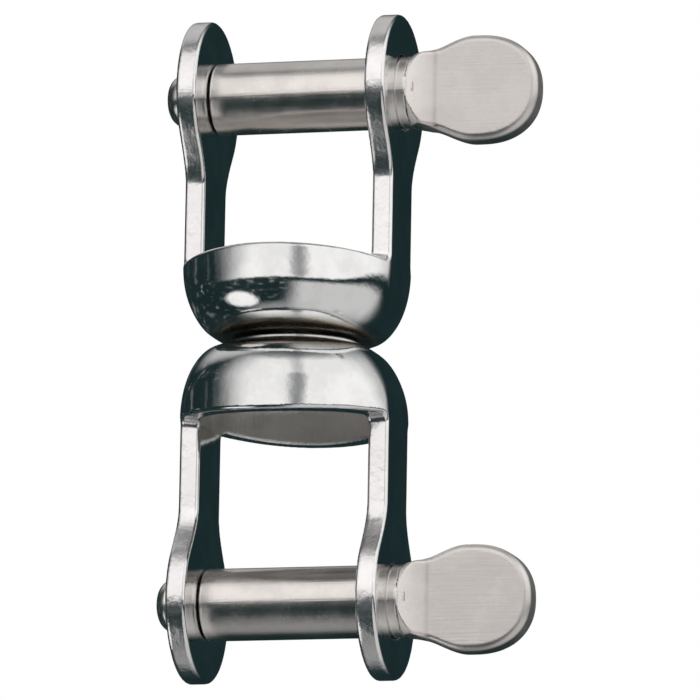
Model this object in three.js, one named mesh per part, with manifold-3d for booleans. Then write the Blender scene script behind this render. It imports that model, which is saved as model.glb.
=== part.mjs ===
// Anchor swivel: two stamped steel shackles riveted back to back through their cups,
// each closed by a screw pin with a flat thumb paddle.
// Millimetres. +Z runs up the swivel axis and +X along the pins, towards their paddles.
// The origin is the middle of the upper pin. Pieces are drawn about the middle of the
// swivel joint, and the last lines lower the whole by the upper shackle's reach.
import * as THREE from 'three';
import { mergeVertices } from 'three/addons/utils/BufferGeometryUtils.js';
import Module from 'manifold-3d';

const wasm = await Module();
wasm.setup();

// Driving dimensions.
const fit = 0.3; // clearance between pieces that touch
const sheet = 2.3; // plate that the shackles are stamped from
const innerWidth = 19.2; // between the ears of a shackle
const earRadius = 8.7;
const legWidth = 8.6;
const legFillet = 2.6; // where an ear narrows to its leg
const upperReach = 28.1; // from the middle of the swivel joint to the upper pin's axis
const lowerReach = 28.7;
const cupHalfY = 13.6; // outside of the cup, front to back; across the legs it is their outside
const bendRun = 4; // width and height of the oval bend from the floor to a leg
const bendRise = 8.3;
const bowlRun = 4.8; // the same from the floor to the cup's front and back walls
const bowlRise = 5.2;
const cupHeight = 8.7; // from the outside of the floor to the middle of the rim
const rimBow = 0.7; // how much lower the rim is beside the legs
const shankDiameter = 8;
const threadDiameter = 6;
const threadProud = 3.1; // how far the pin's end stands out of its ear
const paddleLength = 15.6; // from the ear's outer face to the paddle's end
const paddleHalfHeight = 5.95;
const paddleThickness = 3.6;
const rivetDiameter = 6;
const rivetHeadRadius = 5.1;
const rivetHeadHeight = 2.3;
const thrustWasherRadius = 7.2;
const thrustWasherThickness = 0.5;
const tailWasherThickness = 0.8;

// Facets.
const roundSteps = 40; // around a bowl
const pinSteps = 28; // around a pin, rivet or washer
const curveSteps = 8; // along each curved stretch of an outline

// Sizes that follow from them. Heights are above the middle of the joint.
const earInner = innerWidth / 2;
const earOuter = earInner + sheet;
const jointGap = thrustWasherThickness + 2 * fit;
const floorOutside = jointGap / 2;
const floorInside = floorOutside + sheet;
const bendX = earOuter - bendRun; // centre of the bend from the floor to a leg
const bendZ = floorOutside + bendRise;
const bowlX = earOuter - bowlRun; // centre of the bowl's corner
const bowlZ = floorOutside + bowlRise;
const rim = floorOutside + cupHeight;
const shank = shankDiameter / 2;
const thread = threadDiameter / 2;
const paddleEnd = earOuter + paddleLength;

// A closed solid from any closed geometry: shared corners merged, collapsed faces dropped.
function solid(geometry) {
  const bare = new THREE.BufferGeometry();
  bare.setAttribute('position', geometry.getAttribute('position'));
  bare.setIndex(geometry.getIndex());
  const merged = mergeVertices(bare, 1e-4);
  const corners = merged.getIndex().array;
  const faces = [];
  for (let i = 0; i < corners.length; i += 3) {
    const [a, b, c] = corners.slice(i, i + 3);
    if (a !== b && b !== c && c !== a) faces.push(a, b, c);
  }
  const vertProperties = new Float32Array(merged.getAttribute('position').array);
  const mesh = new wasm.Mesh({ numProp: 3, vertProperties, triVerts: new Uint32Array(faces) });
  return new wasm.Manifold(mesh);
}

function geometryOf(manifold) {
  const { vertProperties, triVerts } = manifold.getMesh();
  const geometry = new THREE.BufferGeometry();
  geometry.setAttribute('position', new THREE.BufferAttribute(vertProperties, 3));
  geometry.setIndex(new THREE.BufferAttribute(triVerts, 1));
  geometry.computeVertexNormals();
  return geometry;
}

// A solid of revolution about Z from a half section of (radius, height) points.
function turnedAboutZ(points, steps) {
  return new THREE.LatheGeometry(points, steps).rotateX(Math.PI / 2);
}

// The same about X, where a point's height is its place along X.
function turnedAboutX(points, steps) {
  return new THREE.LatheGeometry(points, steps).rotateZ(-Math.PI / 2);
}

function extruded(shape, depth) {
  return new THREE.ExtrudeGeometry(shape, { depth, bevelEnabled: false, curveSegments: curveSteps });
}

// A plate lying in YZ, from x = start to start + depth. The shape's x is Y and its y is Z.
function plateInYZ(shape, start, depth) {
  const turn = new THREE.Matrix4().makeBasis(
    new THREE.Vector3(0, 1, 0),
    new THREE.Vector3(0, 0, 1),
    new THREE.Vector3(1, 0, 0),
  );
  return extruded(shape, depth).applyMatrix4(turn).translate(start, 0, 0);
}

// A plate lying in XZ, as deep along Y as stated, with y = 0 at its middle.
function plateInXZ(shape, depth) {
  return extruded(shape, depth).rotateX(Math.PI / 2).translate(0, depth / 2, 0);
}

// The half section of a plain cylinder from start to end.
function rodSection(radius, start, end) {
  return [
    new THREE.Vector2(0, start),
    new THREE.Vector2(radius, start),
    new THREE.Vector2(radius, end),
    new THREE.Vector2(0, end),
  ];
}

function rodAlongZ(radius, start, end) {
  return solid(turnedAboutZ(rodSection(radius, start, end), pinSteps));
}

function holeAlongX(radius, start, end, height) {
  return solid(turnedAboutX(rodSection(radius, start, end), pinSteps).translate(0, 0, height));
}

// A half section of a bowl, filled up to its top: floor, oval corner, upright wall.
function bowlSection(radius, floor, top) {
  const path = new THREE.Path();
  path.moveTo(0, floor);
  path.lineTo(bowlX, floor);
  path.absellipse(bowlX, bowlZ, radius - bowlX, bowlZ - floor, -Math.PI / 2, 0, false);
  path.lineTo(radius, top);
  path.lineTo(0, top);
  return path.getPoints(curveSteps / 2);
}

function ovalBowl(halfX, halfY, floor, top) {
  const bowl = turnedAboutZ(bowlSection(halfX, floor, top), roundSteps);
  return solid(bowl.scale(1, halfY / halfX, 1));
}

// What lies between the legs or within their outsides, seen along Y, up to a height.
function betweenLegs(half, floor, top) {
  const run = half - bendX;
  const rise = bendZ - floor;
  const shape = new THREE.Shape();
  shape.moveTo(-half, top);
  shape.lineTo(-half, bendZ);
  shape.absellipse(-bendX, bendZ, run, rise, Math.PI, 1.5 * Math.PI, false);
  shape.lineTo(bendX, floor);
  shape.absellipse(bendX, bendZ, run, rise, -0.5 * Math.PI, 0, false);
  shape.lineTo(half, top);
  shape.closePath();
  return shape;
}

// Everything under the cup's bowed rim, seen along Y.
function underRim() {
  const side = rim - rimBow;
  const shape = new THREE.Shape();
  shape.moveTo(-earOuter, 0);
  shape.lineTo(earOuter, 0);
  shape.lineTo(earOuter, side);
  shape.quadraticCurveTo(0, rim + rimBow, -earOuter, side);
  shape.closePath();
  return shape;
}

// An ear with its leg, seen along X: a disc that narrows into a strip down to the floor.
function earAndLegOutline(reach) {
  const half = legWidth / 2;
  const filletY = half + legFillet;
  const filletDrop = Math.sqrt((earRadius + legFillet) ** 2 - filletY ** 2);
  const filletZ = reach - filletDrop;
  const earAngle = Math.atan2(-filletDrop, filletY);
  const shape = new THREE.Shape();
  shape.moveTo(half, 0);
  shape.lineTo(half, filletZ);
  shape.absarc(filletY, filletZ, legFillet, Math.PI, Math.PI + earAngle, true);
  shape.absarc(0, reach, earRadius, earAngle, Math.PI - earAngle, false);
  shape.absarc(-filletY, filletZ, legFillet, -earAngle, 0, true);
  shape.lineTo(-half, 0);
  shape.closePath();
  return shape;
}

// One shackle with its ears up: cup, two legs, a plain and a threaded ear, rivet hole.
function shackle(reach) {
  const top = reach + earRadius + 1;
  const depth = 2 * cupHalfY + 2;
  const outside = solid(plateInXZ(betweenLegs(earOuter, floorOutside, top), depth));
  const inside = solid(plateInXZ(betweenLegs(earInner, floorInside, top + 1), depth + 2));
  const bowl = ovalBowl(earOuter, cupHalfY, floorOutside, top);
  const hollow = ovalBowl(earInner, cupHalfY - sheet, floorInside, top);
  const cup = bowl.intersect(outside).intersect(solid(plateInXZ(underRim(), depth)));
  const trim = solid(plateInYZ(earAndLegOutline(reach), -earOuter - 1, 2 * earOuter + 2));
  const strap = outside.subtract(inside).intersect(trim);
  const body = cup.subtract(hollow.intersect(inside)).add(strap);
  const shankHole = holeAlongX(shank + fit, 0, earOuter + sheet, reach);
  const threadHole = holeAlongX(thread + fit, -earOuter - sheet, 0, reach);
  const rivetHole = rodAlongZ(rivetDiameter / 2 + fit, 0, floorInside + sheet);
  return geometryOf(body.subtract(shankHole).subtract(threadHole).subtract(rivetHole));
}

// The paddle's outline, seen along Y: neck, swelling sides and a round end.
function paddleOutline() {
  const tall = paddleHalfHeight;
  const root = earOuter + fit;
  const flare = earOuter + 2; // where it begins to widen
  const broad = paddleEnd - 6.2; // where it is at its full height
  const shape = new THREE.Shape();
  shape.moveTo(root, -shank);
  shape.lineTo(flare, -shank);
  shape.bezierCurveTo(flare + 2.5, -shank, broad - 3, -tall, broad, -tall);
  shape.bezierCurveTo(paddleEnd - 2, -tall, paddleEnd, -tall / 2, paddleEnd, 0);
  shape.bezierCurveTo(paddleEnd, tall / 2, paddleEnd - 2, tall, broad, tall);
  shape.bezierCurveTo(broad - 3, tall, flare + 2.5, shank, flare, shank);
  shape.lineTo(root, shank);
  shape.closePath();
  return shape;
}

// How the round rod is pressed flat, seen along Z.
function paddleThinning() {
  const half = paddleThickness / 2;
  const root = earOuter + fit;
  const round = earOuter + 1; // the rod is still round here
  const flat = earOuter + 4.2; // and its pressed faces are flat from here
  const shape = new THREE.Shape();
  shape.moveTo(root, -shank);
  shape.lineTo(round, -shank);
  shape.bezierCurveTo(round + 1.2, -shank, flat - 1.2, -half, flat, -half);
  shape.lineTo(paddleEnd, -half);
  shape.lineTo(paddleEnd, half);
  shape.lineTo(flat, half);
  shape.bezierCurveTo(flat - 1.2, half, round + 1.2, shank, round, shank);
  shape.lineTo(root, shank);
  shape.closePath();
  return shape;
}

// A cone that keeps the paddle's root round where it leaves the rod.
function paddleRoot() {
  const wide = shank + 3;
  const section = [
    new THREE.Vector2(0, earOuter + fit),
    new THREE.Vector2(shank, earOuter + fit),
    new THREE.Vector2(shank, earOuter + 1),
    new THREE.Vector2(wide, earOuter + 7),
    new THREE.Vector2(wide, paddleEnd + 1),
    new THREE.Vector2(0, paddleEnd + 1),
  ];
  return solid(turnedAboutX(section, pinSteps));
}

function paddle() {
  const depth = 2 * shankDiameter;
  const face = solid(plateInXZ(paddleOutline(), depth));
  const edge = solid(extruded(paddleThinning(), depth).translate(0, 0, -depth / 2));
  return face.intersect(edge).intersect(paddleRoot());
}

// The turned rod: rounded thread end, shoulder with a chamfer, shank through the plain ear.
function pinRod() {
  const chamfer = 0.8;
  const tip = -earOuter - threadProud;
  const shoulder = -earInner + fit;
  const path = new THREE.Path();
  path.moveTo(0, tip);
  path.quadraticCurveTo(thread, tip, thread, tip + 2.2);
  path.lineTo(thread, shoulder);
  path.lineTo(shank - chamfer, shoulder);
  path.lineTo(shank, shoulder + chamfer);
  path.lineTo(shank, earOuter + 1);
  path.lineTo(0, earOuter + 1);
  return solid(turnedAboutX(path.getPoints(curveSteps / 2), pinSteps));
}

function screwPin() {
  return geometryOf(pinRod().add(paddle()));
}

// The rivet: a domed head inside the upper cup and a closed tail inside the lower one.
function swivelRivet() {
  const stem = rivetDiameter / 2;
  const head = rivetHeadRadius;
  const tail = rivetHeadRadius - 0.5;
  const headSeat = floorInside + fit;
  const headTop = headSeat + rivetHeadHeight;
  const tailSeat = -floorInside - 2 * fit - tailWasherThickness;
  const tailTop = tailSeat - rivetHeadHeight;
  const shoulder = 1.4; // how far a dome rises nearly straight from its seat
  const path = new THREE.Path();
  path.moveTo(0, tailTop);
  path.bezierCurveTo(tail * 0.6, tailTop, tail, tailSeat - shoulder, tail, tailSeat);
  path.lineTo(stem, tailSeat);
  path.lineTo(stem, headSeat);
  path.lineTo(head, headSeat);
  path.bezierCurveTo(head, headSeat + shoulder, head * 0.6, headTop, 0, headTop);
  return geometryOf(solid(turnedAboutZ(path.getPoints(curveSteps), pinSteps)));
}

function washer(radius, bottom, thickness) {
  const disc = rodAlongZ(radius, bottom, bottom + thickness);
  const hole = rodAlongZ(rivetDiameter / 2 + fit, bottom - 1, bottom + thickness + 1);
  return geometryOf(disc.subtract(hole));
}

function steel(color, roughness) {
  return new THREE.MeshStandardMaterial({ color, roughness, metalness: 1 });
}

function named(name, geometry, material) {
  const mesh = new THREE.Mesh(geometry, material);
  mesh.name = name;
  return mesh;
}

// One half of the swivel, with its ears up: a shackle and its pin.
function jaw(side, reach) {
  const pin = named(`${side}_pin`, screwPin(), steel(0xd6d0cb, 0.32));
  pin.position.z = reach;
  const group = new THREE.Group();
  group.add(named(`${side}_shackle`, shackle(reach), steel(0xd4d8d8, 0.08)));
  group.add(pin);
  return group;
}

function joint() {
  const thrust = washer(thrustWasherRadius, -thrustWasherThickness / 2, thrustWasherThickness);
  const tailWasherBottom = -floorInside - fit - tailWasherThickness;
  const tail = washer(rivetHeadRadius, tailWasherBottom, tailWasherThickness);
  const group = new THREE.Group();
  group.add(named('swivel_rivet', swivelRivet(), steel(0xb9bbbb, 0.35)));
  group.add(named('thrust_washer', thrust, steel(0xc4c6c6, 0.25)));
  group.add(named('tail_washer', tail, steel(0xc4c6c6, 0.25)));
  return group;
}

const lowerJaw = jaw('lower', lowerReach);
lowerJaw.rotation.x = Math.PI;

const swivel = new THREE.Group();
swivel.add(jaw('upper', upperReach), lowerJaw, joint());
swivel.position.z = -upperReach;

export default swivel;
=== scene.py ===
"""Anchor swivel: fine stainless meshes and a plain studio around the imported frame.

Each piece is described by a distance function in millimetres, about its own natural centre, and
surface_mesh() turns that function into a fine mesh. Places and sizes come from the frame.
"""
import math

import bpy
import numpy as np
from mathutils import Matrix, Vector


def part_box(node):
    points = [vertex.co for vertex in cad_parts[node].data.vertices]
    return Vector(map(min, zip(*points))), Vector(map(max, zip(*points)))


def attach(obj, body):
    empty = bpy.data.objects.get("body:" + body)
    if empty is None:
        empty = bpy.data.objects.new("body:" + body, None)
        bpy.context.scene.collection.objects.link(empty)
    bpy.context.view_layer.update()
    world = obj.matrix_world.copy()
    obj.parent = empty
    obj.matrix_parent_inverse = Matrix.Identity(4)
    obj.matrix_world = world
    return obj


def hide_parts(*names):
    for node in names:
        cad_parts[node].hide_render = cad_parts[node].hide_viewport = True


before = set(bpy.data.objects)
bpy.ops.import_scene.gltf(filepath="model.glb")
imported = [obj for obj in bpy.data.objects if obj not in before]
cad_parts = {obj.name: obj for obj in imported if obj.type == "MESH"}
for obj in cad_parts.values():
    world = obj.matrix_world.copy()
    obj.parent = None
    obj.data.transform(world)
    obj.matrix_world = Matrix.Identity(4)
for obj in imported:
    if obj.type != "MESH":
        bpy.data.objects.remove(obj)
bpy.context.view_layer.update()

MM = 0.001

# Sizes in millimetres that the nodes' boxes don't give.
SHEET = 2.3
LEG_WIDTH = 8.6
LEG_FILLET = 2.6
BEND_RUN, BEND_RISE = 4.0, 8.3
BOWL_RUN, BOWL_RISE = 5.5, 5.2
CUP_HEIGHT = 8.7
RIM_BOW = 0.7
RIM_FILLET = 0.9
PLATE_EDGE = 0.42
HOLE_EDGE = 0.22
BORE_EDGE = 0.2
SHANK = 4.0
SHANK_PLAY = 0.18  # between the shank and its hole, on the radius
THREAD = 3.0
THREAD_PLAY = 0.12
THREAD_PITCH = 1.0
THREAD_DEPTH = 0.32
SHANK_EDGE = 0.35
TIP_ROUND = 1.9
GROOVE = 0.18  # between the shank and the paddle's root
PADDLE_HALF = 1.8  # half its thickness
PADDLE_ROUND = 6.7  # length of its round end
PADDLE_POWER = 2.25  # of the superellipse at its round end
PADDLE_EDGE = 0.75
WASHER_EDGE = 0.12
RIVET_RADIUS = 3.0
RIVET_PLAY = 0.2
RIVET_HEAD_HEIGHT = 2.3
RIVET_POWER = 2.3  # of the superellipse that its head is turned from
TAIL_SMALLER = 0.5  # the rivet's tail is that much smaller than its head, on the radius

# Grid steps of the fine meshes, in millimetres.
SHACKLE_STEP = 0.26
PIN_STEP = 0.2
JOINT_STEP = 0.16


def box_mm(node):
    """Lowest and highest corner of a CAD node in millimetres."""
    low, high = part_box(node)
    return np.array(low) / MM, np.array(high) / MM


shackle_low, shackle_high = box_mm("upper_shackle")
pin_low, pin_high = box_mm("upper_pin")
washer_low, washer_high = box_mm("thrust_washer")
EAR_OUTER = shackle_high[0]
EAR_INNER = EAR_OUTER - SHEET
EAR_RADIUS = shackle_high[2]
CUP_HALF_Y = shackle_high[1]
PADDLE_END = pin_high[0]
PADDLE_TALL = pin_high[2]
TIP = pin_low[0]
JOINT_Z = (washer_low[2] + washer_high[2]) / 2
UPPER_REACH = -JOINT_Z
LOWER_PIN_Z = (box_mm("lower_pin")[0][2] + box_mm("lower_pin")[1][2]) / 2
LOWER_REACH = JOINT_Z - LOWER_PIN_Z
FLOOR_OUTSIDE = shackle_low[2] - JOINT_Z
RIM = FLOOR_OUTSIDE + CUP_HEIGHT
# Places along a pin: where its shank steps down to the thread, where its shank meets the paddle's
# root, and where the root starts and stops growing taller and thinner.
SHOULDER = -EAR_INNER + 0.12
NECK = EAR_OUTER + 1.1
TALLER_FROM, TALLER_TO = NECK + 0.7, NECK + 7.2
THINNER_FROM, THINNER_TO = NECK - 0.6, NECK + 3.4


# --- distance functions -----------------------------------------------------------------

def join(a, b, fillet):
    """Both shapes, with a round fillet where they meet."""
    corner = np.hypot(np.maximum(fillet - a, 0), np.maximum(fillet - b, 0))
    return np.maximum(fillet, np.minimum(a, b)) - corner


def overlap(a, b, edge):
    """What the two shapes share, with a rounded edge."""
    corner = np.hypot(np.maximum(edge + a, 0), np.maximum(edge + b, 0))
    return np.minimum(-edge, np.maximum(a, b)) + corner


def blended(a, b, width):
    """What the two shapes share, with a shallow crease melted away over a width."""
    near = np.maximum(1 - np.abs(a - b) / width, 0)
    return np.maximum(a, b) + width / 4 * near ** 2


def smoothstep(value, start, end):
    t = np.clip((value - start) / (end - start), 0, 1)
    return t * t * (3 - 2 * t)


def oval(x, y, half_x, half_y, power=2.0):
    """Distance to a superellipse, true near its edge."""
    u = np.abs(x / half_x) + 1e-9
    v = np.abs(y / half_y) + 1e-9
    level = (u ** power + v ** power) ** (1 / power)
    slope = np.hypot(u ** (power - 1) / half_x, v ** (power - 1) / half_y) * level ** (1 - power)
    return (level - 1) / slope


def rim_height(x):
    """Height of a cup's rim, which bows down towards the legs."""
    return RIM - RIM_BOW * (x / EAR_OUTER) ** 2


def cup_wall(x, y, z, inset):
    """Distance to the outside of the cup and legs, or to their inside at the sheet's thickness."""
    half = LEG_WIDTH / 2
    flat = np.abs(x) - EAR_OUTER
    half_x = EAR_OUTER / math.sqrt(1 - (half / CUP_HALF_Y) ** 2)
    wall = oval(x, y, half_x, CUP_HALF_Y)
    wall = blended(flat, wall, 0.15 + 0.8 * smoothstep(z, RIM - 2, FLOOR_OUTSIDE + 1))
    plan = wall + (flat - wall) * smoothstep(z - rim_height(x), 0.0, 1.2)
    in_front = smoothstep(np.abs(y), half - 1, CUP_HALF_Y - 2)
    run = BEND_RUN + (BOWL_RUN - BEND_RUN) * in_front
    rise = BEND_RISE + (BOWL_RISE - BEND_RISE) * in_front
    over = np.maximum(plan + run, 0)
    under = np.minimum(z - FLOOR_OUTSIDE - rise, 0)
    return oval(over, under, run - inset, rise - inset)


def shackle(x, y, z, reach):
    """A shackle with its ears up, about the middle of the swivel joint."""
    half = LEG_WIDTH / 2
    plate = np.maximum(cup_wall(x, y, z, 0.0), -cup_wall(x, y, z, SHEET))
    ear = np.hypot(y, z - reach) - EAR_RADIUS
    leg = np.maximum(np.abs(y) - half, z - reach)
    above = join(ear, leg, LEG_FILLET)
    outline = join(above, z - rim_height(x), RIM_FILLET)
    body = overlap(plate, outline, PLATE_EDGE)
    hole = np.where(x > 0, SHANK + SHANK_PLAY, THREAD + THREAD_PLAY) - np.hypot(y, z - reach)
    body = overlap(body, hole, HOLE_EDGE)
    bore = RIVET_RADIUS + RIVET_PLAY - np.hypot(x, y)
    return overlap(body, bore + 0 * z, BORE_EDGE)


def rod(x, y, z, radius, start, end, edge):
    """A cylinder along X."""
    across = np.hypot(y, z) - radius
    along = np.abs(x - (start + end) / 2) - (end - start) / 2
    return overlap(across, along, edge)


def pin_screw(x, y, z):
    """The threaded end of a pin, with a plain round tip."""
    turn = np.arctan2(z, y) / (2 * math.pi)
    wave = np.cos(2 * math.pi * (x / THREAD_PITCH - turn))
    threaded = smoothstep(x, TIP + 1.2, TIP + 2.0) * smoothstep(x, SHOULDER + 0.1, SHOULDER - 0.7)
    radius = THREAD - THREAD_DEPTH / 2 * (1 - wave) * threaded
    return overlap(np.hypot(y, z) - radius, np.abs(x - SHOULDER) - (SHOULDER - TIP), TIP_ROUND)


def pin_head(x, y, z):
    """A pin's paddle and its root, which starts as round as the shank and flattens.

    The factors below 1 keep the sloping stretches from counting as farther than they are.
    """
    round_from = PADDLE_END - PADDLE_ROUND
    tall = SHANK + (PADDLE_TALL - SHANK) * smoothstep(x, TALLER_FROM, TALLER_TO)
    disc = oval(np.maximum(x - round_from, 0), z, PADDLE_ROUND, PADDLE_TALL, PADDLE_POWER)
    outline = np.where(x < round_from, np.abs(z) - tall, disc) * 0.95
    half = SHANK + (PADDLE_HALF - SHANK) * smoothstep(x, THINNER_FROM, THINNER_TO)
    thin = (np.abs(y) - half) * 0.9
    cone = (np.hypot(y, z) - SHANK - 0.6 * np.maximum(x - NECK, 0)) * 0.85
    edge = 0.02 + PADDLE_EDGE * smoothstep(x, NECK, NECK + 4)
    head = overlap(overlap(outline, thin, edge), cone, edge)
    return overlap(head, NECK - GROOVE / 3 - x, GROOVE)


def screw_pin(x, y, z):
    """A pin about the middle of its shank, its paddle towards +X."""
    shank = overlap(rod(x, y, z, SHANK, SHOULDER, NECK + 2, SHANK_EDGE), x - NECK, GROOVE)
    under_groove = rod(x, y, z, SHANK - 0.5, NECK - 1, NECK + 0.8, 0.1)
    solid = np.minimum(np.minimum(shank, pin_head(x, y, z)), under_groove)
    return join(solid, pin_screw(x, y, z), 0.15)


def ring(x, y, z, radius, bore, low, high, edge):
    """A flat ring about Z."""
    across = np.hypot(x, y)
    disc = overlap(across - radius, np.abs(z - (low + high) / 2) - (high - low) / 2, edge)
    return overlap(disc, bore - across + 0 * z, edge)


# --- meshes -----------------------------------------------------------------------------

def slopes(distance, points):
    """The gradient of a distance function at some points."""
    step = 0.004  # millimetres
    found = np.empty_like(points)
    for axis in range(3):
        ahead, behind = points.copy(), points.copy()
        ahead[:, axis] += step
        behind[:, axis] -= step
        found[:, axis] = (distance(*ahead.T) - distance(*behind.T)) / (2 * step)
    return found


def pull_onto(distance, points, rounds):
    """Newton steps that bring points onto the surface."""
    for _ in range(rounds):
        slope = slopes(distance, points)
        size = np.maximum((slope ** 2).sum(1), 0.05)
        move = distance(*points.T) / size
        points = points - slope * np.clip(move, -0.2, 0.2)[:, None]
    return points


def crossing_faces(inside, number):
    """One quad round each grid edge that crosses the surface, facing outwards."""
    faces = []
    for axis in range(3):
        first = np.moveaxis(inside, axis, 0)
        edges = np.argwhere(np.moveaxis(first[:-1] != first[1:], 0, axis))
        u, v = (axis + 1) % 3, (axis + 2) % 3
        starts_inside = inside[tuple(edges.T)]
        corners = []
        for du, dv in ((-1, -1), (0, -1), (0, 0), (-1, 0)):
            cell = edges.copy()
            cell[:, u] += du
            cell[:, v] += dv
            corners.append(number[tuple(cell.T)])
        quads = np.stack(corners, axis=1)
        quads[~starts_inside] = quads[~starts_inside][:, ::-1]
        faces.append(quads)
    return np.concatenate(faces)


def surface_mesh(distance, low, high, step):
    """Points and quads of the surface where distance(x, y, z) is 0, by surface nets.

    The points start in the middle of the grid's cells. They are pulled onto the surface, then
    evened out over their faces and pulled back, a few times.
    """
    axes = [np.arange(a - 2.5 * step, b + 3 * step, step) for a, b in zip(low, high)]
    inside = distance(*np.meshgrid(*axes, indexing="ij", sparse=True)) < 0
    count = np.zeros([n - 1 for n in inside.shape], int)
    for i in range(8):
        cut = tuple(slice(i >> a & 1, inside.shape[a] - 1 + (i >> a & 1)) for a in range(3))
        count += inside[cut]
    crossed = (count > 0) & (count < 8)
    number = np.full(crossed.shape, -1)
    number[crossed] = np.arange(crossed.sum())
    origin = np.array([axis[0] for axis in axes])
    points = origin + (np.argwhere(crossed) + 0.5) * step
    faces = crossing_faces(inside, number)
    points = pull_onto(distance, points, 4)
    for _ in range(3):
        total = np.zeros_like(points)
        uses = np.zeros(len(points))
        centres = points[faces].mean(1)
        for corner in range(4):
            np.add.at(total, faces[:, corner], centres)
            np.add.at(uses, faces[:, corner], 1)
        points = pull_onto(distance, total / uses[:, None], 3)
    return points, faces


def fine_piece(name, distance, low, high, step, turned=False, origin=(0, 0, 0)):
    """An object with the distance function's surface, turned over about X and moved, in metres."""
    points, faces = surface_mesh(distance, np.array(low), np.array(high), step)
    normals = slopes(distance, points)
    normals /= np.linalg.norm(normals, axis=1)[:, None]
    over = np.array([1, -1, -1]) if turned else np.array([1, 1, 1])
    points = (points * over + np.array(origin)) * MM
    mesh = bpy.data.meshes.new(name)
    mesh.from_pydata(points.tolist(), [], faces.tolist())
    mesh.polygons.foreach_set("use_smooth", [True] * len(faces))
    mesh.normals_split_custom_set_from_vertices((normals * over).tolist())
    piece = bpy.data.objects.new(name, mesh)
    bpy.context.scene.collection.objects.link(piece)
    return piece


# --- node helpers -----------------------------------------------------------------------

class Nodes:
    """Short calls for building a node tree."""

    def __init__(self, tree):
        self.tree = tree
        tree.nodes.clear()

    def add(self, kind, **settings):
        node = self.tree.nodes.new(kind)
        for key, value in settings.items():
            setattr(node, key, value)
        return node

    def link(self, source, target):
        self.tree.links.new(source, target)

    def feed(self, socket, value):
        if isinstance(value, bpy.types.NodeSocket):
            self.link(value, socket)
        else:
            socket.default_value = value

    def math(self, operation, a, b=0.0):
        node = self.add("ShaderNodeMath", operation=operation)
        self.feed(node.inputs[0], a)
        self.feed(node.inputs[1], b)
        return node.outputs[0]

    def step(self, value, start, end, low=0.0, high=1.0):
        """A smooth step from low to high as value goes from start to end."""
        node = self.add("ShaderNodeMapRange", interpolation_type="SMOOTHSTEP")
        for socket, number in zip(node.inputs, (value, start, end, low, high)):
            self.feed(socket, number)
        return node.outputs[0]

    def mix(self, factor, a, b):
        node = self.add("ShaderNodeMix", data_type="RGBA")
        self.feed(node.inputs[0], factor)
        self.feed(node.inputs[6], a)
        self.feed(node.inputs[7], b)
        return node.outputs[2]

    def noise(self, vector, scale, detail=3.0, roughness=0.5):
        node = self.add("ShaderNodeTexNoise")
        self.feed(node.inputs["Vector"], vector)
        node.inputs["Scale"].default_value = scale
        node.inputs["Detail"].default_value = detail
        node.inputs["Roughness"].default_value = roughness
        return node.outputs["Fac"]

    def stretched(self, scale):
        """Object coordinates in millimetres, scaled differently along each axis."""
        place = self.add("ShaderNodeTexCoord")
        mapping = self.add("ShaderNodeMapping")
        self.link(place.outputs["Object"], mapping.inputs["Vector"])
        mapping.inputs["Scale"].default_value = [s / MM for s in scale]
        return mapping.outputs[0]

    def along(self, place, direction):
        """How far a direction of the world points along another."""
        node = self.add("ShaderNodeVectorMath", operation="DOT_PRODUCT")
        self.link(place.outputs["Generated"], node.inputs[0])
        node.inputs[1].default_value = direction
        return node.outputs["Value"]

    def bump(self, height, distance, normal=None):
        """A relief up to a distance deep, in millimetres, on top of another one."""
        node = self.add("ShaderNodeBump")
        self.feed(node.inputs["Height"], height)
        node.inputs["Strength"].default_value = 1.0
        node.inputs["Distance"].default_value = distance * MM
        if normal is not None:
            self.link(normal, node.inputs["Normal"])
        return node.outputs[0]


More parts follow.
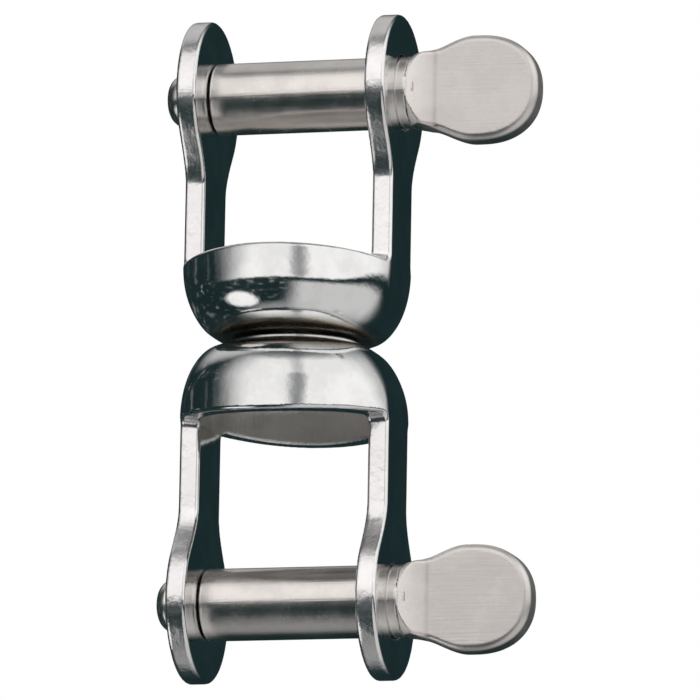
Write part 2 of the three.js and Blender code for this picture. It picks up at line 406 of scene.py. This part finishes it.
def steel(
    name, color, roughness, spread, waves, dimples, grain, grain_scale, matte_from=None, joint_shade=False,
):
    """Stainless steel: long soft waves, dimples, fine grain, and uneven gloss and colour.

    Spread is how much the roughness varies. Waves, dimples and grain are depths in millimetres.
    Past matte_from along X, in millimetres, the surface is less glossy. The last flag paints a dull
    brown shade, less glossy too, that thins out away from the swivel joint: painted shade for the gap
    between the cups.
    """
    material = bpy.data.materials.new(name)
    material.use_nodes = True
    nodes = Nodes(material.node_tree)
    shader = nodes.add("ShaderNodeBsdfPrincipled")
    output = nodes.add("ShaderNodeOutputMaterial")
    nodes.link(shader.outputs[0], output.inputs["Surface"])
    shader.inputs["Metallic"].default_value = 1.0
    even = nodes.stretched((1, 1, 1))
    parts = nodes.add("ShaderNodeSeparateXYZ")
    nodes.link(even, parts.inputs[0])
    patches = nodes.noise(even, 0.22, 4.0, 0.6)
    scuffs = nodes.noise(even, 1.6, 6.0, 0.7)
    darker = tuple(c * 0.86 for c in color) + (1,)
    shade = nodes.mix(nodes.step(patches, 0.35, 0.65), darker, color + (1,))
    worn = nodes.step(patches, 0.3, 0.7, 0, spread)
    worn = nodes.math("ADD", worn, nodes.step(scuffs, 0.5, 0.8, 0, spread))
    matt = nodes.math("ADD", worn, roughness)
    if matte_from is not None:
        ends = nodes.step(parts.outputs[0], matte_from, matte_from + 2.5, 0.0, 0.16)
        matt = nodes.math("ADD", matt, ends)
    # Painted shade: near the swivel joint the steel turns dull brown and less glossy, standing in for
    # the shade in the gap between the cups.
    if joint_shade:
        away = nodes.math("ABSOLUTE", nodes.math("SUBTRACT", parts.outputs[2], JOINT_Z))
        joint_darkening = nodes.step(away, 0.3, 1.8, 1.0, 0.0)
        shade = nodes.mix(joint_darkening, shade, (0.4, 0.36, 0.3, 1))
        matt = nodes.math("ADD", matt, nodes.math("MULTIPLY", joint_darkening, 0.22))
    nodes.feed(shader.inputs["Base Color"], shade)
    nodes.feed(shader.inputs["Roughness"], matt)
    soft = nodes.bump(nodes.noise(even, 0.12, 1.0), waves)
    pitted = nodes.bump(nodes.noise(even, 0.9, 2.0), dimples, soft)
    fine = nodes.noise(nodes.stretched(grain_scale), 1.0, 4.0, 0.65)
    nodes.link(nodes.bump(fine, grain, pitted), shader.inputs["Normal"])
    return material


# --- the pieces -------------------------------------------------------------------------

def finish_piece(piece, node, slot, *materials):
    """Give a piece its materials, and put it on its body in place of its CAD node."""
    for material in materials:
        piece.data.materials.append(material)
    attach(piece, node)
    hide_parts(node)


def mark_faces(piece, turned):
    """Give a shackle's hollow its second material and its sheared edges its third."""
    mesh = piece.data
    centres = np.empty(3 * len(mesh.polygons))
    mesh.polygons.foreach_get("center", centres)
    x, y, z = centres.reshape(-1, 3).T / MM
    z = (z - JOINT_Z) * (-1 if turned else 1)
    outer, inner = cup_wall(x, y, z, 0.0), -cup_wall(x, y, z, SHEET)
    hollow = (inner > -0.12) & (z < RIM - 0.25)
    sheared = np.maximum(outer, inner) < -PLATE_EDGE / 2 - 0.01
    mesh.polygons.foreach_set("material_index", np.where(sheared, 2, hollow).astype(int))


def make_shackle(side, reach, turned, materials):
    """A shackle whose pin is at reach from the joint, turned over if it is the lower one."""
    def distance(x, y, z):
        return shackle(x, y, z, reach)

    high = (EAR_OUTER, CUP_HALF_Y, reach + EAR_RADIUS)
    low = (-EAR_OUTER, -CUP_HALF_Y, FLOOR_OUTSIDE)
    name = f"{side}_shackle_plate"
    piece = fine_piece(name, distance, low, high, SHACKLE_STEP, turned, (0, 0, JOINT_Z))
    finish_piece(piece, f"{side}_shackle", "polished_plate", *materials)
    mark_faces(piece, turned)


def make_pin(side, height, material):
    """A pin at a height. The lower one is turned over with its shackle."""
    low = (TIP, -SHANK, -PADDLE_TALL)
    high = (PADDLE_END, SHANK, PADDLE_TALL)
    piece = fine_piece(f"{side}_screw_pin", screw_pin, low, high, PIN_STEP, height != 0, (0, 0, height))
    finish_piece(piece, f"{side}_pin", "satin_pin", material)


def make_washer(node, material):
    """A washer that fills its CAD node's box."""
    low, high = box_mm(node)
    middle = (low[2] + high[2]) / 2
    half = (high[2] - low[2]) / 2
    radius = high[0]

    def distance(x, y, z):
        return ring(x, y, z, radius, RIVET_RADIUS + RIVET_PLAY, -half, half, WASHER_EDGE)

    piece = fine_piece(
        f"{node}_disc", distance, (-radius, -radius, -half), (radius, radius, half),
        JOINT_STEP, False, (0, 0, middle),
    )
    finish_piece(piece, node, "washer_steel", material)


def make_rivet(material):
    """The rivet: a stem with a domed head on top and a smaller closed tail below."""
    low, high = box_mm("swivel_rivet")
    top, bottom = high[2] - JOINT_Z, low[2] - JOINT_Z
    radius = high[0]
    tall = RIVET_HEAD_HEIGHT

    def distance(x, y, z):
        across = np.hypot(x, y)
        along = np.abs(z - (top + bottom) / 2) - (top - bottom) / 2 + 0.5
        stem = overlap(across - RIVET_RADIUS, along, 0.2)
        dome = oval(across, z - top + tall, radius, tall, RIVET_POWER)
        head = overlap(dome, top - tall - z, 0.15)
        closed = oval(across, z - bottom - tall, radius - TAIL_SMALLER, tall, RIVET_POWER)
        tail = overlap(closed, z - bottom - tall, 0.15)
        return join(join(stem, head, 0.25), tail, 0.25)

    piece = fine_piece(
        "swivel_rivet_body", distance, (-radius, -radius, bottom), (radius, radius, top),
        JOINT_STEP, False, (0, 0, JOINT_Z),
    )
    finish_piece(piece, "swivel_rivet", "rivet_steel", material)


def plate_steels():
    """The three surfaces of a shackle: polished outside, with painted shade near the joint; matt in
    the hollow, its colour brightened as painted light; and at the sheared edges, their colour
    brightened as a painted highlight.
    """
    polished = steel(
        "polished_plate", (0.88, 0.89, 0.89), roughness=0.06, spread=0.05,
        waves=0.2, dimples=0.018, grain=0.003, grain_scale=(3, 3, 3), joint_shade=True,
    )
    # Painted light: the hollow's colour is brightened to nearly full, above the outer steel's, standing
    # in for light that the hollow doesn't get.
    hollow = steel(
        "pressed_hollow", (1.0, 0.97, 0.94), roughness=0.34, spread=0.16,
        waves=0.05, dimples=0.03, grain=0.1, grain_scale=(4, 4, 0.4),
    )
    # Sheared edges: rougher than the faces, with their colour brightened to full as a painted
    # highlight.
    sheared = steel(
        "sheared_edge", (1.0, 0.98, 0.98), roughness=0.16, spread=0.1,
        waves=0.2, dimples=0.05, grain=0.01, grain_scale=(2, 2, 2),
    )
    return polished, hollow, sheared


def make_pieces():
    plate = plate_steels()
    satin = steel(
        "satin_pin", (0.86, 0.82, 0.79), roughness=0.2, spread=0.06,
        waves=0.04, dimples=0.006, grain=0.012, grain_scale=(0.15, 4, 4), matte_from=EAR_OUTER + 1,
    )
    formed = steel(
        "rivet_steel", (0.73, 0.73, 0.72), roughness=0.28, spread=0.1,
        waves=0.1, dimples=0.01, grain=0.01, grain_scale=(3, 3, 3),
    )
    punched = steel(
        "washer_steel", (0.77, 0.78, 0.78), roughness=0.2, spread=0.08,
        waves=0.02, dimples=0.004, grain=0.006, grain_scale=(2, 2, 2),
    )
    make_shackle("upper", UPPER_REACH, False, plate)
    make_shackle("lower", LOWER_REACH, True, plate)
    make_pin("upper", 0, satin)
    make_pin("lower", LOWER_PIN_Z, satin)
    make_washer("thrust_washer", punched)
    make_washer("tail_washer", punched)
    make_rivet(formed)


# --- the studio -------------------------------------------------------------------------

# Azimuths are measured round from the front towards +X. Lengths are millimetres.
CAMERA_AZIMUTH = math.radians(15.6)
CAMERA_ELEVATION = math.radians(-10.0)
CAMERA_ROLL = math.radians(1.03)
CAMERA_DISTANCE = 900.0
VIEW_WIDTH = 77.3
AXIS_LEFT_OF_CENTRE = 5.99
JOINT_ABOVE_CENTRE = 0.31
FLOOR_BELOW = 400.0  # under the lower pin
# The colours that the steel reflects: the dark of the room and the lit screens.
DARK = (0.012, 0.026, 0.028, 1)
LIT = (1.02, 1.0, 0.99, 1)
PAPER = (1, 1, 1, 1)  # what the camera and the floor see all round
FLOOR_COLOR = (0.9, 0.9, 0.9, 1)
FLOOR_HALF = 2.0  # metres
# Screens in front: bright above the horizon, dimmer below it on the right and straight down.
FRONT_AZIMUTH = math.radians(40)
LOW_LIGHT = 0.6
DOWN_LIGHT = 0.3
# A reflector card, low on the left.
CARD_AZIMUTH = math.radians(-57)
CARD_ELEVATION = math.radians(-42)
CARD_HALF = math.radians(17)
CARD_BLUR = 0.06  # radians either side of its edge
# A dim soft box, high behind on the left.
REAR_AZIMUTH = math.radians(-140)
REAR_ELEVATION = math.radians(60)
REAR_HALF = math.radians(40)
REAR_LIGHT = 0.5
# Things standing about in the dark of the room.
CLUTTER_LIGHT = 0.5
# The photographer, who stands dark against the bright front.
PHOTOGRAPHER_AZIMUTH = math.radians(23)
PHOTOGRAPHER_ELEVATION = math.radians(13)


def toward(azimuth, elevation):
    """The direction that is so far round from the front and so far up, in radians."""
    flat = math.cos(elevation)
    return Vector((math.sin(azimuth) * flat, -math.cos(azimuth) * flat, math.sin(elevation)))


def make_camera():
    """A long lens, a little to the right of the front and a little below the joint."""
    data = bpy.data.cameras.new("camera")
    camera = bpy.data.objects.new("camera", data)
    bpy.context.scene.collection.objects.link(camera)
    a, e = CAMERA_AZIMUTH, CAMERA_ELEVATION
    back = toward(a, e)
    right = Vector((math.cos(a), math.sin(a), 0))
    up = back.cross(right)
    target = Vector((0, 0, JOINT_Z)) + right * AXIS_LEFT_OF_CENTRE - up * JOINT_ABOVE_CENTRE
    turn = Matrix((right, up, back)).transposed() @ Matrix.Rotation(CAMERA_ROLL, 3, "Z")
    camera.matrix_world = Matrix.Translation((target + back * CAMERA_DISTANCE) * MM) @ turn.to_4x4()
    data.sensor_width = 36
    data.lens = data.sensor_width * CAMERA_DISTANCE / VIEW_WIDTH
    data.clip_start = 0.01
    data.clip_end = 20
    bpy.context.scene.camera = camera


def front_screens(nodes, place):
    """Light from the screens in front, with the photographer standing dark before them."""
    parts = nodes.add("ShaderNodeSeparateXYZ")
    nodes.link(place.outputs["Generated"], parts.inputs[0])
    z = parts.outputs[2]
    ahead = nodes.along(place, toward(FRONT_AZIMUTH, 0))
    aside = nodes.along(place, toward(PHOTOGRAPHER_AZIMUTH + math.pi / 2, 0))
    head = nodes.along(place, toward(PHOTOGRAPHER_AZIMUTH, PHOTOGRAPHER_ELEVATION))
    body = nodes.step(nodes.math("ABSOLUTE", aside), 0.0, 0.16, 0.6, 1.0)
    photographer = nodes.math("MULTIPLY", body, nodes.step(head, 0.975, 0.998, 1.0, 0.5))
    # From the horizon up, dimmer straight above, and fading towards the back.
    above = nodes.math("MULTIPLY", nodes.step(z, -0.03, 0.07), nodes.step(z, 0.98, 0.8, 0.2, 1.0))
    above = nodes.math("MULTIPLY", above, nodes.step(ahead, -0.5, 0.4))
    above = nodes.math("MULTIPLY", above, photographer)
    # From just under the horizon down, on the right of the photographer, and straight down.
    right = nodes.step(aside, -0.3, 0.1, 0.0, LOW_LIGHT)
    below = nodes.math("MULTIPLY", nodes.step(z, -0.08, -0.25), right)
    below = nodes.math("MULTIPLY", below, nodes.step(ahead, -0.45, 0.25))
    below = nodes.math("MAXIMUM", below, nodes.step(z, -0.8, -0.98, 0.0, DOWN_LIGHT))
    return nodes.math("MAXIMUM", above, below)


def side_lights(nodes, place):
    """Light from the card, the soft box behind, and faint clutter in the dark on the left."""
    card = nodes.along(place, toward(CARD_AZIMUTH, CARD_ELEVATION))
    card_light = nodes.step(card, math.cos(CARD_HALF + CARD_BLUR), math.cos(CARD_HALF - CARD_BLUR))
    rear = nodes.along(place, toward(REAR_AZIMUTH, REAR_ELEVATION))
    rear_light = nodes.step(rear, math.cos(REAR_HALF), 0.95, 0.0, REAR_LIGHT)
    shapes = nodes.noise(place.outputs["Generated"], 7.0, 5.0, 0.7)
    aside = nodes.along(place, toward(PHOTOGRAPHER_AZIMUTH + math.pi / 2, 0))
    clutter = nodes.step(shapes, 0.54, 0.74, 0.0, CLUTTER_LIGHT)
    clutter = nodes.math("MULTIPLY", clutter, nodes.step(aside, 0.1, -0.4))
    return nodes.math("MAXIMUM", nodes.math("MAXIMUM", card_light, rear_light), clutter)


def make_world():
    """A studio that the steel reflects, round a white ground that the camera and the floor see."""
    world = bpy.data.worlds.new("studio")
    world.use_nodes = True
    bpy.context.scene.world = world
    nodes = Nodes(world.node_tree)
    place = nodes.add("ShaderNodeTexCoord")
    light = nodes.math("MAXIMUM", front_screens(nodes, place), side_lights(nodes, place))
    shown = nodes.mix(light, DARK, LIT)
    path = nodes.add("ShaderNodeLightPath")
    plain = nodes.math("MAXIMUM", path.outputs["Is Camera Ray"], path.outputs["Is Diffuse Ray"])
    background = nodes.add("ShaderNodeBackground")
    output = nodes.add("ShaderNodeOutputWorld")
    nodes.link(nodes.mix(plain, shown, PAPER), background.inputs["Color"])
    nodes.link(background.outputs[0], output.inputs["Surface"])


def make_floor():
    """A pale floor, clear from below, that the steel doesn't reflect."""
    material = bpy.data.materials.new("floor")
    material.use_nodes = True
    nodes = Nodes(material.node_tree)
    pale = nodes.add("ShaderNodeBsdfDiffuse")
    pale.inputs["Color"].default_value = FLOOR_COLOR
    clear = nodes.add("ShaderNodeBsdfTransparent")
    side = nodes.add("ShaderNodeNewGeometry")
    mixed = nodes.add("ShaderNodeMixShader")
    nodes.link(side.outputs["Backfacing"], mixed.inputs[0])
    nodes.link(pale.outputs[0], mixed.inputs[1])
    nodes.link(clear.outputs[0], mixed.inputs[2])
    output = nodes.add("ShaderNodeOutputMaterial")
    nodes.link(mixed.outputs[0], output.inputs["Surface"])
    mesh = bpy.data.meshes.new("floor")
    height = (LOWER_PIN_Z - FLOOR_BELOW) * MM
    corners = [
        (side * FLOOR_HALF, front * FLOOR_HALF, height)
        for side, front in ((-1, -1), (1, -1), (1, 1), (-1, 1))
    ]
    mesh.from_pydata(corners, [], [(0, 1, 2, 3)])
    mesh.materials.append(material)
    floor = bpy.data.objects.new("floor", mesh)
    bpy.context.scene.collection.objects.link(floor)
    floor.visible_glossy = False


make_pieces()
make_camera()
make_world()
make_floor()
bpy.context.scene.view_settings.view_transform = "Standard"
